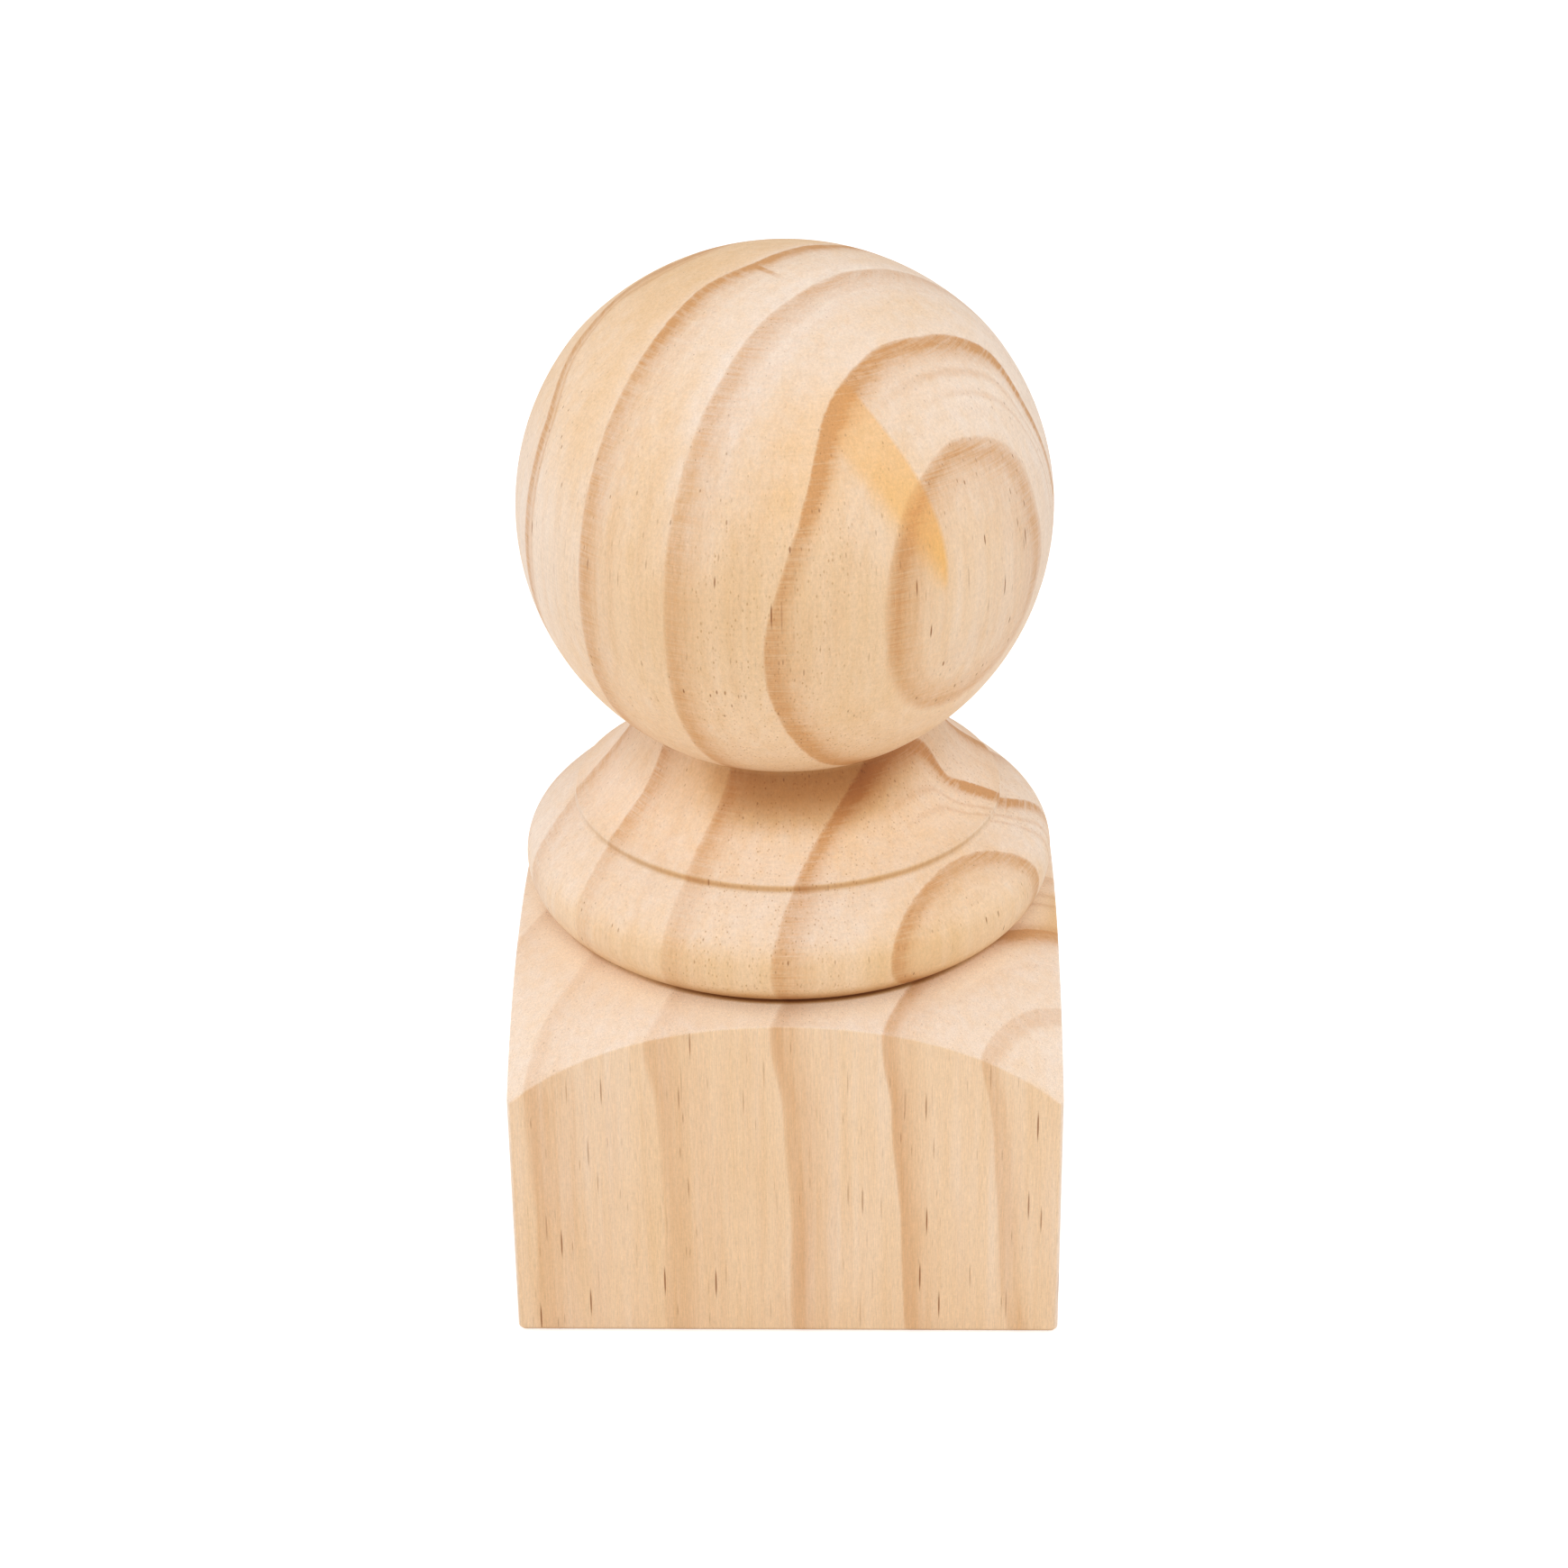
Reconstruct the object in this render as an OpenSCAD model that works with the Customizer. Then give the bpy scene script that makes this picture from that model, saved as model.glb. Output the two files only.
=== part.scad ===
// Ball top cap for a square timber post, turned from one piece of softwood.
// The base of the block lies on Z = 0, and the lathe axis is the Z axis.

/* [Block] */
// Width of the square block across its faces
block_w = 90; // [80:1:100]
// Height of each face at the top of its arch
face_h = 60; // [45:1:80]
// Rounding of the four upright edges
arris_r = 1; // [0.5:0.25:3]
// Bevel round the foot of the block
foot_bevel = 0.8; // [0.2:0.2:2]

/* [Domed shoulder] */
// Radius of the arc that domes the shoulder
dome_r = 48; // [46:1:60]
// Distance of that arc's centre from the lathe axis
dome_offset = 25; // [20:1:30]

/* [Bead] */
// Set-back of the bead inside the faces of the block
bead_setback = 1; // [0.5:0.25:4]
// Radius of the bead's rounded nose
nose_r = 7.5; // [5:0.25:9]
// Height of the nose's centre above the arch of a face
nose_rise = 8.8; // [7:0.2:11]
// Angle above level at which the nose runs into the long curve over the bead
nose_turn = 44; // [36:1:50]
// Radius of the long curve over the bead
bead_top_r = 45; // [35:1:80]

/* [Fillet and cove] */
// Diameter of the small upright fillet between the bead and the cove
fillet_d = 71; // [60:1:76]
// Height of the fillet
fillet_h = 1; // [0.5:0.25:3]
// Radius of the cove that sweeps up from the fillet to the ball
cove_r = 38; // [24:1:60]
// Slope of the cove where it leaves the fillet
cove_slope = 34; // [24:1:44]

/* [Ball] */
// Diameter of the ball
ball_d = 86.5; // [76:0.5:96]
// Height of the ball's centre above the fillet
ball_rise = 50.4; // [46:0.2:56]
// Height lost at the crown, where the ball is sanded flatter
crown_drop = 1.1; // [0.4:0.1:2]
// How much larger the radius of the crown is than that of the ball
crown_ease = 2; // [1:0.25:4]
// Radius that blends the crown into the ball
crown_blend_r = 30; // [20:1:34]

/* [Dowel hole] */
// Diameter of the blind hole for a fixing dowel
dowel_d = 12; // [6:0.5:20]
// Depth of the hole's straight wall
dowel_depth = 35; // [20:1:45]
// Full angle of the drill point at the hole's end
drill_point = 118; // [90:1:140]

/* [Hidden] */
$fn = 128;
pine = "#EBCBA2";

dome_z = face_h - sqrt(pow(dome_r, 2) - pow(block_w / 2 - dome_offset, 2));

nose_x = block_w / 2 - bead_setback - nose_r;
nose_z = face_h + nose_rise;
bead_top_x = nose_x - (bead_top_r - nose_r) * cos(nose_turn);
bead_top_z = nose_z - (bead_top_r - nose_r) * sin(nose_turn);

fillet_r = fillet_d / 2;
fillet_z = bead_top_z + sqrt(pow(bead_top_r, 2) - pow(fillet_r - bead_top_x, 2));
cove_z = fillet_z + fillet_h;

ball_r = ball_d / 2;
ball_z = cove_z + ball_rise;
crown_r = ball_r + crown_ease;
crown_sink = crown_ease + crown_drop;
blend_z = (pow(crown_r - crown_blend_r, 2) - pow(ball_r - crown_blend_r, 2) - pow(crown_sink, 2))
    / (2 * crown_sink);
blend_x = sqrt(pow(ball_r - crown_blend_r, 2) - pow(blend_z, 2));
ball_blend_angle = atan2(blend_z, blend_x);
crown_blend_angle = atan2(blend_z + crown_sink, blend_x);

total_h = ball_z + ball_r - crown_drop;

// Far enough to lie outside the whole cap, and how far a cutter starts below the base
reach = 2 * (total_h + block_w);
overcut = 1;

// A point at an angle and a distance from a centre, in the plane of the turned outline
function polar(centre, angle, distance) = centre + distance * [cos(angle), sin(angle)];

// Keeps the part of an outline that lies on the right of the lathe axis and above the base
module lathe_side() {
    intersection() {
        children();
        square(reach);
    }
}

// Outline under the shoulder's arc, out past the corners of the block
module shoulder_outline() {
    lathe_side() {
        translate([dome_offset, dome_z]) circle(r = dome_r);
        square([dome_offset + dome_r, dome_z]);
    }
}

// Outline of the bead: a tight nose that runs into the long curve over it
module bead_outline() {
    top = [bead_top_x, bead_top_z];
    translate([nose_x, nose_z]) circle(r = nose_r);
    intersection() {
        translate(top) circle(r = bead_top_r);
        polygon([top, polar(top, nose_turn, reach), [top[0], reach]]);
        translate([fillet_r, 0]) square(reach);
    }
}

// Outline of the core, the fillet and the neck that the cove leaves standing
module neck_outline() {
    square([nose_x, nose_z]);
    square([fillet_r, cove_z]);
    difference() {
        square([fillet_r, ball_z]);
        translate([fillet_r + cove_r * sin(cove_slope), cove_z + cove_r * cos(cove_slope)])
            circle(r = cove_r);
    }
}

// Outline of the ball, with its flatter crown blended in
module ball_outline() {
    blend = [blend_x, blend_z];
    translate([0, ball_z]) difference() {
        intersection() {
            circle(r = ball_r);
            translate([0, -crown_sink]) circle(r = crown_r);
        }
        difference() {
            polygon([
                blend,
                polar([0, 0], ball_blend_angle, 2 * ball_r),
                polar([0, -crown_sink], crown_blend_angle, 2 * crown_r)
            ]);
            translate(blend) circle(r = crown_blend_r);
        }
    }
}

// Square with rounded corners, as the block is in plan
module block_plan() {
    inset = block_w / 2 - arris_r;
    square([block_w, 2 * inset], center = true);
    square([2 * inset, block_w], center = true);
    for (x = [-inset, inset], y = [-inset, inset])
        translate([x, y]) circle(r = arris_r);
}

// Side view of the block blank, bevelled at the foot
module block_side() {
    half = block_w / 2;
    polygon([
        [-half + foot_bevel, 0],
        [half - foot_bevel, 0],
        [half, foot_bevel],
        [half, total_h],
        [-half, total_h],
        [-half, foot_bevel]
    ]);
}

// The square blank that the lathe doesn't reach
module block_blank() {
    intersection() {
        linear_extrude(total_h) block_plan();
        rotate([90, 0, 0]) linear_extrude(2 * block_w, center = true) block_side();
        rotate([90, 0, 90]) linear_extrude(2 * block_w, center = true) block_side();
    }
}

// Blind hole with a drill point, open at the base
module dowel_hole() {
    point_h = dowel_d / 2 / tan(drill_point / 2);
    translate([0, 0, -overcut]) cylinder(d = dowel_d, h = dowel_depth + overcut);
    translate([0, 0, dowel_depth]) cylinder(d1 = dowel_d, d2 = 0, h = point_h);
}

module post_cap() {
    color(pine) difference() {
        union() {
            intersection() {
                rotate_extrude() shoulder_outline();
                block_blank();
            }
            rotate_extrude() lathe_side() {
                bead_outline();
                neck_outline();
                ball_outline();
            }
        }
        dowel_hole();
    }
}

post_cap();
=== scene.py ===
"""Ball top cap for a square post, turned from one piece of pine.

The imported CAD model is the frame. One finely divided mesh with eased edges replaces its node, and
the pine is a solid texture: growth rings about a pith that lies just outside the block's corner.
The cap's lengths are in millimetres, and become metres where Blender takes them. The floor and the
lamps round it are given in metres.
"""

import math

import bpy
import numpy as np
from mathutils import Matrix, Vector

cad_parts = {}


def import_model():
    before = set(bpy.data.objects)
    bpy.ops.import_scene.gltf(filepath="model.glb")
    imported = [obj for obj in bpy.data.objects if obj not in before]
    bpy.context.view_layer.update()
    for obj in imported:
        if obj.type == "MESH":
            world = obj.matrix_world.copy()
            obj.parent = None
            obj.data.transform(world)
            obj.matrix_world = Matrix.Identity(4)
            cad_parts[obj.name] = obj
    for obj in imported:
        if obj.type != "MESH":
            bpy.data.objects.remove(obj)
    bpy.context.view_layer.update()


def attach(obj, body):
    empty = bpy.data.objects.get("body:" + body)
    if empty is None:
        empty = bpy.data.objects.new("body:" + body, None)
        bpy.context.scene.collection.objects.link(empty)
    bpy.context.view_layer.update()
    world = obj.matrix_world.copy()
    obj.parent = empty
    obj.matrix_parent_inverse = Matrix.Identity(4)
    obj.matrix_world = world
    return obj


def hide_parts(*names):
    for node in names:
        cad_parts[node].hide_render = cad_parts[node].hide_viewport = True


MM = 0.001

# Sizes of the CAD model
BLOCK_W = 90.0
FACE_H = 60.0
ARRIS_R = 1.0
FOOT_BEVEL = 0.8
DOME_R = 48.0
DOME_OFFSET = 25.0
BEAD_SETBACK = 1.0
NOSE_R = 7.5
NOSE_RISE = 8.8
NOSE_TURN = math.radians(44)
BEAD_TOP_R = 45.0
FILLET_R = 35.5
FILLET_H = 1.0
COVE_R = 38.0
COVE_SLOPE = math.radians(34)
BALL_R = 43.25
BALL_RISE = 50.4
CROWN_DROP = 1.1
CROWN_EASE = 2.0
CROWN_BLEND_R = 30.0
DOWEL_R = 6.0
DOWEL_DEPTH = 35.0
DRILL_HALF_ANGLE = math.radians(59)

# How far each sharp edge is eased
ARCH_EASE = 0.3
CREASE_EASE = 0.25
FILLET_EASE = 0.18
FOOT_EASE = 0.2
HOLE_EASE = 0.3
# Set-back and height of the point half-way round each eased edge of the bevel at the foot
FOOT_EASE_MIDDLE = (0.02, 0.06)
# The point half-way round the hole's eased mouth, as a share of the easing
MOUTH_MIDDLE = 0.3

# Steps round the axis on each face and each corner of the block
FACE_STEPS = 64
CORNER_STEPS = 5
# Steps down the turned outline
CROWN_STEPS = 26
CROWN_BLEND_STEPS = 8
BALL_STEPS = 66
COVE_STEPS = 22
FILLET_STEPS = 4
BEAD_TOP_STEPS = 9
NOSE_STEPS = 34
EASE_STEPS = 4
# Steps over the dome, down the faces, across the underside and up the hole
DOME_STEPS = 26
UPRIGHT_STEPS = 24
UNDERSIDE_STEPS = 14
HOLE_STEPS = 9
# Where the rows inside the drill point lie, as shares of its height
DRILL_POINT_ROWS = (0.35, 0.7)


# ---------------------------------------------------------------- turned outline

def circles_meet(c1, r1, c2, r2, side):
    """The point where two circles meet, on the given side (+1 or -1) of the line between centres."""
    c1, c2 = np.array(c1), np.array(c2)
    gap = np.linalg.norm(c2 - c1)
    along = (gap ** 2 + r1 ** 2 - r2 ** 2) / (2 * gap)
    across = math.sqrt(r1 ** 2 - along ** 2)
    u = (c2 - c1) / gap
    return c1 + u * along + side * across * np.array([-u[1], u[0]])


def arc(centre, radius, start, end, steps):
    """Points on an arc, from one angle to another, in radians above the radial direction."""
    t = np.linspace(start, end, steps + 1)
    return np.stack([centre[0] + radius * np.cos(t), centre[1] + radius * np.sin(t)], 1)


def angle_of(point, centre):
    """The angle of a point seen from a centre, as arc takes it."""
    return math.atan2(point[1] - centre[1], point[0] - centre[0])


def bend(start, corner, end, t):
    """The point a share t of the way round a corner, from its start to its end."""
    return (1 - t) ** 2 * start + 2 * t * (1 - t) * corner + t ** 2 * end


def eased(first, second, reach):
    """Joins two runs of points that share a corner, with the corner eased over a short reach."""
    corner = first[-1]
    before = first[np.linalg.norm(first - corner, axis=1) > reach]
    after = second[np.linalg.norm(second - corner, axis=1) > reach]
    a = corner + (before[-1] - corner) * reach / np.linalg.norm(before[-1] - corner)
    b = corner + (after[0] - corner) * reach / np.linalg.norm(after[0] - corner)
    t = np.linspace(0, 1, EASE_STEPS + 1)[:, None]
    return np.concatenate([before, bend(a, corner, b, t), after])


def ball_outline(ball, cove):
    """The crown, its blend and the ball, down to where the ball meets the cove."""
    sink = CROWN_EASE + CROWN_DROP
    crown = ball - [0.0, sink]
    crown_r = BALL_R + CROWN_EASE
    blend_z = ((crown_r - CROWN_BLEND_R) ** 2 - (BALL_R - CROWN_BLEND_R) ** 2 - sink ** 2) / (2 * sink)
    blend = ball + [math.sqrt((BALL_R - CROWN_BLEND_R) ** 2 - blend_z ** 2), blend_z]
    neck = circles_meet(ball, BALL_R, cove, COVE_R, -1)
    crown_turn = angle_of(blend, crown)
    ball_turn = angle_of(blend, ball)
    return np.concatenate([
        arc(crown, crown_r, math.pi / 2, crown_turn, CROWN_STEPS)[:-1],
        arc(blend, CROWN_BLEND_R, crown_turn, ball_turn, CROWN_BLEND_STEPS)[:-1],
        arc(ball, BALL_R, ball_turn, angle_of(neck, ball), BALL_STEPS),
    ])


def turned_outline():
    """Radius and height from the crown to the crease under the bead, the dome's centre and the crease."""
    dome_z = FACE_H - math.sqrt(DOME_R ** 2 - (BLOCK_W / 2 - DOME_OFFSET) ** 2)
    dome = np.array([DOME_OFFSET, dome_z])
    nose = np.array([BLOCK_W / 2 - BEAD_SETBACK - NOSE_R, FACE_H + NOSE_RISE])
    bead = nose - (BEAD_TOP_R - NOSE_R) * np.array([math.cos(NOSE_TURN), math.sin(NOSE_TURN)])
    fillet_z = bead[1] + math.sqrt(BEAD_TOP_R ** 2 - (FILLET_R - bead[0]) ** 2)
    cove_z = fillet_z + FILLET_H
    cove = np.array([FILLET_R + COVE_R * math.sin(COVE_SLOPE), cove_z + COVE_R * math.cos(COVE_SLOPE)])
    over = ball_outline(np.array([0.0, cove_z + BALL_RISE]), cove)
    crease = circles_meet(nose, NOSE_R, dome, DOME_R, 1)

    into_cove = arc(cove, COVE_R, angle_of(over[-1], cove) + 2 * math.pi,
                    angle_of((FILLET_R, cove_z), cove) + 2 * math.pi, COVE_STEPS)
    fillet = np.linspace([FILLET_R, cove_z], [FILLET_R, fillet_z], FILLET_STEPS + 1)
    bead_turn = angle_of((FILLET_R, fillet_z), bead)
    over_bead = arc(bead, BEAD_TOP_R, bead_turn, NOSE_TURN, BEAD_TOP_STEPS)
    round_nose = arc(nose, NOSE_R, NOSE_TURN, angle_of(crease, nose), NOSE_STEPS)
    outline = eased(over, into_cove, CREASE_EASE)
    outline = eased(outline, fillet, FILLET_EASE)
    outline = eased(outline, np.concatenate([over_bead, round_nose[1:]]), FILLET_EASE)
    return outline, dome, crease


# ---------------------------------------------------------------- mesh

def block_plan():
    """Points round the block's plan, from one corner to the next, with the normal at each."""
    inset = BLOCK_W / 2 - ARRIS_R
    spread = math.atan2(inset, BLOCK_W / 2)
    points, normals = [], []
    for quarter in range(4):
        turn = quarter * math.pi / 2
        along = np.array([-math.sin(turn), math.cos(turn)])
        out = np.array([math.cos(turn), math.sin(turn)])
        for k in range(FACE_STEPS + 1):
            t = -spread + 2 * spread * k / FACE_STEPS
            points.append(out * BLOCK_W / 2 + along * BLOCK_W / 2 * math.tan(t))
            normals.append(out)
        for k in range(1, CORNER_STEPS):
            t = turn + math.pi / 2 * k / CORNER_STEPS
            normal = np.array([math.cos(t), math.sin(t)])
            points.append(inset * (out + along) + ARRIS_R * normal)
            normals.append(normal)
    return np.array(points), np.array(normals)


class Plan:
    """The block's plan, and the rays from the axis that every turned row of the mesh follows."""

    def __init__(self):
        self.points, self.normals = block_plan()
        self.reach = np.linalg.norm(self.points, axis=1)
        self.ways = self.points / self.reach[:, None]

    def ring(self, r, z):
        """A row of points at a radius and a height, each one value or one for every ray."""
        return np.column_stack([self.ways * np.asarray(r).reshape(-1, 1), self.level(z)])

    def inset(self, setback, z):
        """A row of points that follows the block's faces, set back from them by a distance."""
        return np.column_stack([self.points - self.normals * setback, self.level(z)])

    def level(self, z):
        """One height for every ray, whether one is given or many."""
        return np.broadcast_to(z, len(self.points))


def shares(steps):
    """The share of the way that each step ends at, up to 1."""
    return np.linspace(0, 1, steps + 1)[1:]


def dome_rows(plan, dome, crease):
    """Rows out over the domed shoulder, from the crease to the eased arches of the faces."""
    def height(r):
        return dome[1] + np.sqrt(DOME_R ** 2 - (r - dome[0]) ** 2)

    lean = 1 / np.einsum("ij,ij->i", plan.ways, plan.normals)
    width = plan.reach - ARCH_EASE * lean - crease[0]
    rows = []
    for t in shares(DOME_STEPS):
        r = crease[0] + width * t
        rows.append(plan.ring(r, height(r)))
    start, corner = rows[-1], plan.ring(plan.reach, height(plan.reach))
    end = corner - [0, 0, ARCH_EASE]
    return rows + [bend(start, corner, end, t) for t in shares(EASE_STEPS)]


def block_rows(plan, top):
    """Rows down the block's upright faces, from the height of the arches, and round the foot's bevel."""
    foot = FOOT_BEVEL + FOOT_EASE
    slope = FOOT_EASE / math.sqrt(2)
    setback, rise = FOOT_EASE_MIDDLE
    rows = [plan.inset(0.0, top + (foot - top) * t) for t in shares(UPRIGHT_STEPS)]
    return rows + [
        plan.inset(setback, FOOT_BEVEL + rise),
        plan.inset(slope, FOOT_BEVEL - slope),
        plan.inset(FOOT_BEVEL - slope, slope),
        plan.inset(FOOT_BEVEL - rise, setback),
        plan.inset(foot, 0.0),
    ]


def hole_rows(plan, edge):
    """Rows across the underside, from its edge, then up the dowel hole into the drill point."""
    rim = plan.ring(DOWEL_R + HOLE_EASE, 0.0)
    rows = [edge + (rim - edge) * t for t in shares(UNDERSIDE_STEPS)]
    rows.append(plan.ring(DOWEL_R + HOLE_EASE * MOUTH_MIDDLE, HOLE_EASE * MOUTH_MIDDLE))
    for z in np.linspace(HOLE_EASE, DOWEL_DEPTH, HOLE_STEPS + 1):
        rows.append(plan.ring(DOWEL_R, z))
    point_h = DOWEL_R / math.tan(DRILL_HALF_ANGLE)
    for t in DRILL_POINT_ROWS:
        rows.append(plan.ring(DOWEL_R * (1 - t), DOWEL_DEPTH + point_h * t))
    return rows, DOWEL_DEPTH + point_h


def cap_rows():
    """Rows of points from the crown to the drill point, and the heights of those two single points."""
    outline, dome, crease = turned_outline()
    plan = Plan()
    rows = [plan.ring(r, z) for r, z in outline[1:]]
    rows += dome_rows(plan, dome, crease)
    rows += block_rows(plan, rows[-1][:, 2])
    inside, drill_z = hole_rows(plan, rows[-1])
    return rows + inside, outline[0][1], drill_z


def cap_mesh():
    """One closed mesh: the rows joined by quads, with a fan at the crown and at the drill point."""
    rows, crown_z, drill_z = cap_rows()
    round_count = len(rows[0])
    verts = [(0.0, 0.0, crown_z)] + [tuple(p) for row in rows for p in row] + [(0.0, 0.0, drill_z)]
    faces = []
    for j in range(round_count):
        k = (j + 1) % round_count
        faces.append((0, 1 + j, 1 + k))
        for i in range(len(rows) - 1):
            a, b = 1 + i * round_count, 1 + (i + 1) * round_count
            faces.append((a + j, b + j, b + k, a + k))
        last = 1 + (len(rows) - 1) * round_count
        faces.append((last + j, len(verts) - 1, last + k))
    mesh = bpy.data.meshes.new("turned_cap")
    mesh.from_pydata([tuple(MM * c for c in v) for v in verts], [], faces)
    mesh.validate()
    mesh.polygons.foreach_set("use_smooth", [True] * len(mesh.polygons))
    mesh.update()
    cap = bpy.data.objects.new("turned_cap", mesh)
    bpy.context.scene.collection.objects.link(cap)
    weigh = cap.modifiers.new("face_weighted_normals", "WEIGHTED_NORMAL")
    weigh.mode = "FACE_AREA"
    weigh.keep_sharp = True
    return cap


# ---------------------------------------------------------------- shader wiring

# Places of the factor and the two colours among a mix node's inputs, and of the colour it puts out
MIX_INPUTS = (0, 6, 7)
MIX_RESULT = 2


class Tree:
    """Short ways to wire a material's nodes. Values may be numbers or sockets."""

    def __init__(self, name):
        self.material = bpy.data.materials.new(name)
        self.material.use_nodes = True
        self.nodes = self.material.node_tree.nodes
        self.links = self.material.node_tree.links
        self.nodes.clear()

    def node(self, kind, inputs=None, **settings):
        made = self.nodes.new(kind)
        for key, value in settings.items():
            setattr(made, key, value)
        for key, value in (inputs or {}).items():
            self.feed(made.inputs[key], value)
        return made

    def feed(self, socket, value):
        if isinstance(value, bpy.types.NodeSocket):
            self.links.new(value, socket)
        else:
            socket.default_value = value

    def math(self, operation, *values):
        made = self.nodes.new("ShaderNodeMath")
        made.operation = operation
        for socket, value in zip(made.inputs, values):
            self.feed(socket, value)
        return made.outputs[0]

    def chain(self, operation, terms):
        total = terms[0]
        for term in terms[1:]:
            total = self.math(operation, total, term)
        return total

    def add(self, *terms):
        return self.chain("ADD", terms)

    def times(self, *terms):
        return self.chain("MULTIPLY", terms)

    def most(self, *terms):
        return self.chain("MAXIMUM", terms)

    def power(self, value, exponent):
        return self.math("POWER", value, exponent)

    def line(self, value, slope, start):
        """start + slope x value."""
        return self.math("MULTIPLY_ADD", value, slope, start)

    def centred(self, noise, reach):
        """Noise spread evenly about zero, up to about the given reach."""
        return self.line(noise, 2 * reach, -reach)

    def apart(self, value, other):
        """The distance between two values."""
        return self.size_of(self.math("SUBTRACT", value, other))

    def size_of(self, value):
        return self.math("ABSOLUTE", value)

    def hypot(self, a, b):
        return self.math("SQRT", self.add(self.power(a, 2.0), self.power(b, 2.0)))

    def power_sum(self, x, factors):
        """factors[0] + factors[1] x + factors[2] x^2 + ..., wired from the inside out."""
        total = factors[-1]
        for factor in reversed(factors[:-1]):
            total = self.line(x, total, factor)
        return total

    def map(self, value, low, high, to_low=0.0, to_high=1.0, smooth=False):
        """A value between low and high, brought between to_low and to_high, and held there outside."""
        limits = {"From Min": low, "From Max": high, "To Min": to_low, "To Max": to_high}
        interpolation = "SMOOTHSTEP" if smooth else "LINEAR"
        return self.node("ShaderNodeMapRange", {"Value": value, **limits},
                         interpolation_type=interpolation).outputs[0]

    def vector(self, x, y, z):
        return self.node("ShaderNodeCombineXYZ", {"X": x, "Y": y, "Z": z}).outputs[0]

    def noise(self, vector, detail=2.0, roughness=0.5):
        return self.node("ShaderNodeTexNoise", {"Vector": vector, "Scale": 1.0, "Detail": detail,
                                                "Roughness": roughness}).outputs[0]

    def ramp(self, value, stops):
        """A value or a colour that runs straight from stop to stop."""
        made = self.node("ShaderNodeValToRGB", {"Fac": value})
        made.color_ramp.interpolation = "LINEAR"
        elements = made.color_ramp.elements
        while len(elements) < len(stops):
            elements.new(0.5)
        for element, (position, colour) in zip(elements, stops):
            element.position = position
            element.color = (*colour, 1.0) if isinstance(colour, tuple) else (colour,) * 3 + (1.0,)
        return made.outputs[0]

    def mix(self, factor, a, b, blend="MIX"):
        made = self.nodes.new("ShaderNodeMix")
        made.data_type, made.blend_type = "RGBA", blend
        for index, value in zip(MIX_INPUTS, (factor, a, b)):
            self.feed(made.inputs[index], (*value, 1.0) if isinstance(value, tuple) else value)
        return made.outputs[MIX_RESULT]


# ---------------------------------------------------------------- pine: colours

GOLDEN_WOOD = (0.78, 0.51, 0.27)
EARLYWOOD = (0.84, 0.595, 0.38)
PALE_WOOD = (0.88, 0.72, 0.59)
LIT_WOOD = (0.93, 0.79, 0.65)
# The colour of the painted light on the dome beside the crease
PAINTED_LIGHT_WOOD = (0.97, 0.76, 0.55)
LATEWOOD = (0.62, 0.315, 0.125)
RESIN = (0.87, 0.485, 0.15)
RESIN_LATEWOOD = (0.72, 0.34, 0.11)
CANAL = (0.27, 0.095, 0.025)
SPECK = (0.48, 0.24, 0.09)
# Painted shade: the tint for the neck under the ball, the crease under the bead and the step above it
PAINTED_SHADE_TINT = (0.43, 0.26, 0.12)
# Earlywood from golden to pale, against the paleness, painted light included, times a scale
EARLYWOOD_RANGE = ((0.0, GOLDEN_WOOD), (0.32, EARLYWOOD), (0.8, PALE_WOOD), (1.0, LIT_WOOD))
EARLYWOOD_SCALE = 0.8

# ---------------------------------------------------------------- pine: growth rings

# The pith's place, as power sums of the rise: towards the front right corner, and across that way.
# The rise is 0 at half height and grows by 1 in every span.
PITH_TOWARDS = (78.2, -1.7, 2.1)
PITH_ACROSS = (3.5, 2.4, -1.5)
HALF_HEIGHT = 85.0
SPAN = 50.0
# How far the rings are bowed out of the round, as a power sum of the spans across
RING_BOW = (0.0, 0.0, -6.0, 2.8)
HALF_ROOT = math.sqrt(0.5)
# Wander of the rings: how closely it varies across the grain and up it, and its reach
SLOW_WANDER = (0.06, 0.03, 0.5)
QUICK_WANDER = (0.9, 0.1, 0.18)

# Distance from the pith of each ring's sharp outer edge, and how bold the band inside that edge is
RING_EDGES = (13.0, 27.2, 41.2, 56.2, 72.2, 86.4, 101.2, 116.0, 130.0, 143.0, 156.0)
RING_BOLDNESS = ((0.0, 0.7), (0.17, 0.62), (0.26, 1.0), (0.36, 0.95), (0.46, 0.66), (0.55, 0.75),
                 (0.65, 0.85), (1.0, 0.7))
# How dark the wood is on the way out through one ring, from pale earlywood to the latewood's edge
NARROW_BAND = ((0.0, 0.0), (0.5, 0.05), (0.68, 0.18), (0.79, 0.5), (0.88, 0.93), (0.95, 1.0),
               (0.975, 0.85), (1.0, 0.0))
BROAD_BAND = ((0.0, 0.05), (0.3, 0.15), (0.6, 0.4), (0.8, 0.68), (0.91, 1.0), (0.955, 0.85),
              (1.0, 0.05))

# Ranges below are first and last value of a coordinate, then what they stand for if not 0 and 1.
# Bands are broader away from the pith and lower down, and their boldness varies with the patches
BROAD_OUTWARDS = (40.0, 75.0)
BROAD_DOWNWARDS = (80.0, 58.0, 0.25, 0.85)
PATCH_BOLDNESS = (0.3, 0.7, 0.75, 1.25)
BLOCK_BOLDNESS = (63.0, 59.0, 1.0, 0.64)

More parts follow.
